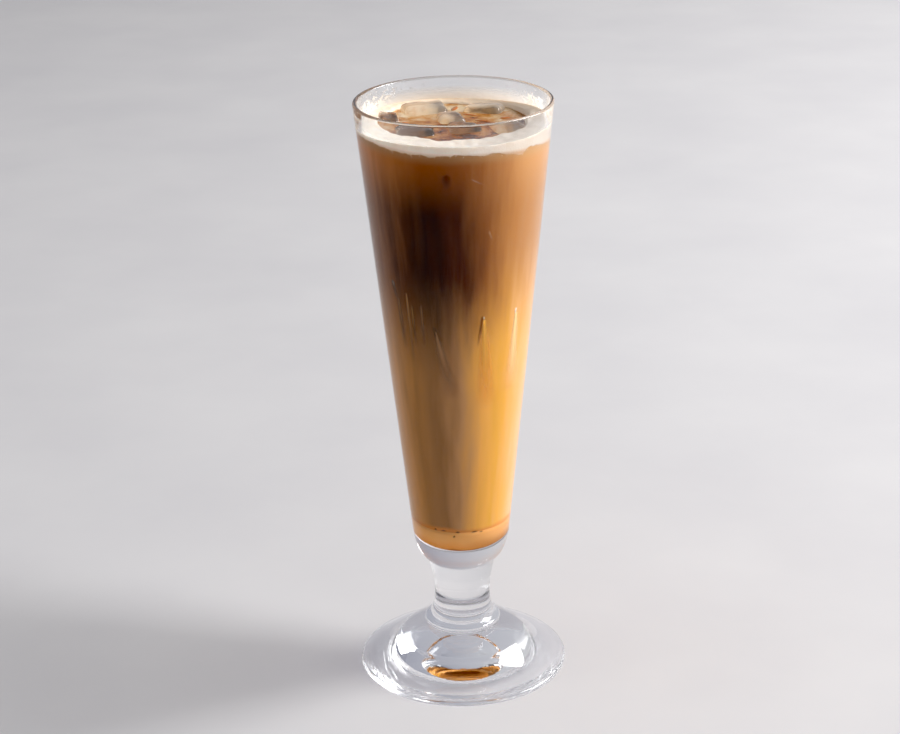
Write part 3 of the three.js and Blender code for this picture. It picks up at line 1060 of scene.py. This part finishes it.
def film_mesh():
    """Vertices and faces of the film as a thin closed shell all round the wall."""
    heights = np.linspace(FILM_LOW_Z, FILM_HIGH_Z, FILM_ROWS)
    outside = [(cavity_radius(z) + FILM_DEPTH / 2, z) for z in heights]
    inside = [(cavity_radius(z) - FILM_DEPTH / 2, z) for z in heights[::-1]]
    section = outside + inside
    vertices = []
    for column in range(FILM_COLUMNS):
        angle = 2 * HALF_TURN * column / FILM_COLUMNS
        vertices += [(r * math.cos(angle), r * math.sin(angle), z) for r, z in section]
    return np.array(vertices) * MM, ring_faces(FILM_COLUMNS, len(section))


# Thin milk: cream where it is thick, clear where it has run off.
milk_film, tree = material_of("thin milk film")
cover = node(tree, "ShaderNodeAttribute", attribute_name="thickness")
place = node(tree, "ShaderNodeTexCoord").outputs["Object"]
axes = node(tree, "ShaderNodeSeparateXYZ", {"Vector": place})
to_back = node(tree, "ShaderNodeMapRange", {
    "Value": axes.outputs["Y"],
    "From Min": 15 * MM,
    "From Max": 30 * MM,
})
milk = node(tree, "ShaderNodeMix", {
    "Factor": to_back.outputs["Result"],
    "A": linear("#f8f3ea"),
    "B": linear("#f4eadd"),
}, data_type="RGBA")
# The emission is a painted glow, for light scattered in the film.
drained = node(tree, "ShaderNodeBsdfPrincipled", {
    "Base Color": milk.outputs["Result"],
    "Roughness": 0.5,
    "Specular IOR Level": 0.1,
    "Emission Color": milk.outputs["Result"],
    "Emission Strength": 0.4,
})
backlit = node(tree, "ShaderNodeBsdfTranslucent", {"Color": milk.outputs["Result"]})
thin = node(tree, "ShaderNodeMixShader", {"Fac": 0.6, 1: drained.outputs["BSDF"], 2: backlit.outputs["BSDF"]})
bare = node(tree, "ShaderNodeBsdfTransparent")
film_mix = node(tree, "ShaderNodeMixShader", {
    "Fac": cover.outputs["Fac"],
    1: bare.outputs["BSDF"],
    2: thin.outputs["Shader"],
})
surface(tree, film_mix.outputs["Shader"])

film = piece("milk_film", *film_mesh(), milk_film, "milk_foam")
cover_of = film.data.attributes.new("thickness", "FLOAT", "POINT")
for vertex, value in zip(film.data.vertices, cover_of.data):
    value.value = film_thickness(math.atan2(vertex.co.y, vertex.co.x), vertex.co.z / MM)

# Bubbles: fine froth that hangs under the ring against the wall.
BUBBLES = 220
BUBBLE_RADII = (0.14, 0.34)
BUBBLE_DROP = 0.9
chance = np.random.default_rng(7)
froth = []
for angle in chance.uniform(0, 2 * HALF_TURN, BUBBLES):
    bottom = foam_section(angle)[0][1] - BUBBLE_DROP * chance.random() ** 2
    radius = chance.uniform(*BUBBLE_RADII)
    reach = cavity_radius(bottom)
    froth.append((radius * np.eye(3), (reach * math.cos(angle), reach * math.sin(angle), bottom)))
balls("foam_bubbles", froth, milk_foam, "milk_foam")


# Floor
# A plain pale table top, only there to catch light and shadow.
FLOOR_RADIUS = 8.0
table_top, tree = material_of("pale table top")
place = node(tree, "ShaderNodeTexCoord").outputs["Object"]
mottle = node(tree, "ShaderNodeTexNoise", {"Vector": place, "Scale": 9.0, "Detail": 5.0})
pale = node(tree, "ShaderNodeValToRGB", {"Fac": mottle.outputs["Fac"]}, stops=[
    (0.3, linear("#dfdddf")),
    (0.7, linear("#e6e4e5")),
])
matt = node(tree, "ShaderNodeBsdfPrincipled", {"Base Color": pale.outputs["Color"], "Roughness": 0.9})
surface(tree, matt.outputs["BSDF"])
floor_mesh = bpy.data.meshes.new("table_top")
turn = np.linspace(0, 2 * HALF_TURN, 96, endpoint=False)
ring = [(FLOOR_RADIUS * math.cos(a), FLOOR_RADIUS * math.sin(a), 0) for a in turn]
floor_mesh.from_pydata(ring, [], [tuple(range(len(ring)))])
floor_mesh.materials.append(table_top)
floor = bpy.data.objects.new("table_top", floor_mesh)
bpy.context.scene.collection.objects.link(floor)
floor.location.z = -0.02 * MM


# Light
# A large soft key from the right and a little behind, a weak fill from the left, and a grey room.
def soft_light(name, azimuth, elevation, distance, width, height, watts):
    """A rectangular soft box that faces the middle of the glass."""
    lamp = bpy.data.lights.new(name, "AREA")
    lamp.shape = "RECTANGLE"
    lamp.size = width
    lamp.size_y = height
    lamp.energy = watts
    made = bpy.data.objects.new(name, lamp)
    bpy.context.scene.collection.objects.link(made)
    a, e = math.radians(azimuth), math.radians(elevation)
    away = Vector((math.cos(a) * math.cos(e), math.sin(a) * math.cos(e), math.sin(e)))
    made.location = Vector((0, 0, GLASS_HEIGHT * MM / 2)) + away * distance
    made.rotation_euler = away.to_track_quat("Z", "Y").to_euler()
    return made


ROOM_LIGHT = 0.17
ROOM_SEEN = 0.75
soft_light("key_light", 4, 30, 3.0, 2.1, 1.8, 158)
soft_light("fill_light", 175, 35, 3.0, 1.6, 1.6, 6)

room = bpy.data.worlds.new("grey_room")
bpy.context.scene.world = room
room.use_nodes = True
tree = room.node_tree
direction = node(tree, "ShaderNodeTexCoord").outputs["Generated"]
sides = node(tree, "ShaderNodeSeparateXYZ", {"Vector": direction})
across = node(tree, "ShaderNodeMapRange", {"Value": sides.outputs["X"], "From Min": -1.0, "From Max": 1.0})
walls = node(tree, "ShaderNodeValToRGB", {"Fac": across.outputs["Result"]}, stops=[
    (0.0, linear("#f6f6f8")),
    (0.5, linear("#d4d5de")),
    (1.0, linear("#a9abbb")),
])
behind_viewer = node(tree, "ShaderNodeMapRange", {
    "Value": sides.outputs["Y"],
    "From Min": -0.6,
    "From Max": -0.1,
    "To Min": 0.25,
})
room_tone = node(tree, "ShaderNodeVectorMath", {
    0: walls.outputs["Color"],
    "Scale": behind_viewer.outputs["Result"],
}, operation="SCALE")
light_path = node(tree, "ShaderNodeLightPath")
mirrored = node(tree, "ShaderNodeMath", {
    0: light_path.outputs["Is Glossy Ray"],
    1: light_path.outputs["Is Transmission Ray"],
}, operation="MAXIMUM")
seen = node(tree, "ShaderNodeMath", {
    0: mirrored.outputs[0],
    1: light_path.outputs["Is Camera Ray"],
}, operation="MAXIMUM")
strength = node(tree, "ShaderNodeMapRange", {
    "Value": seen.outputs[0],
    "To Min": ROOM_LIGHT,
    "To Max": ROOM_SEEN,
})
backdrop = tree.nodes["Background"]
tree.links.new(room_tone.outputs["Vector"], backdrop.inputs["Color"])
tree.links.new(strength.outputs["Result"], backdrop.inputs["Strength"])


# Camera
# Where the photograph was taken from: just above the glass, looking down on it through a long lens.
CAMERA_SPOT = (-3.24, -808.2, 449.9)
CAMERA_DOWN = math.radians(21.556)
CAMERA_ROLL = math.radians(-1.15)
LENS = 87.19
SENSOR = 36.0

forward = Vector((0, math.cos(CAMERA_DOWN), -math.sin(CAMERA_DOWN)))
level_right = Vector((1, 0, 0))
level_up = level_right.cross(forward)
right = level_right * math.cos(CAMERA_ROLL) + level_up * math.sin(CAMERA_ROLL)
up = level_up * math.cos(CAMERA_ROLL) - level_right * math.sin(CAMERA_ROLL)
lens = bpy.data.cameras.new("camera")
lens.lens = LENS
lens.sensor_width = SENSOR
lens.sensor_fit = "HORIZONTAL"
camera = bpy.data.objects.new("camera", lens)
bpy.context.scene.collection.objects.link(camera)
camera.matrix_world = Matrix((right, up, -forward)).transposed().to_4x4()
camera.location = Vector(CAMERA_SPOT) * MM
bpy.context.scene.camera = camera

BLACK_POINT = 0.024
scene = bpy.context.scene
scene.view_settings.view_transform = "Standard"
scene.view_settings.use_curve_mapping = True
scene.view_settings.curve_mapping.black_level = (BLACK_POINT, BLACK_POINT, BLACK_POINT)
scene.view_settings.curve_mapping.update()
scene.cycles.use_denoising = True
scene.cycles.max_bounces = 28
scene.cycles.glossy_bounces = 28
scene.cycles.transmission_bounces = 28
scene.cycles.transparent_max_bounces = 24
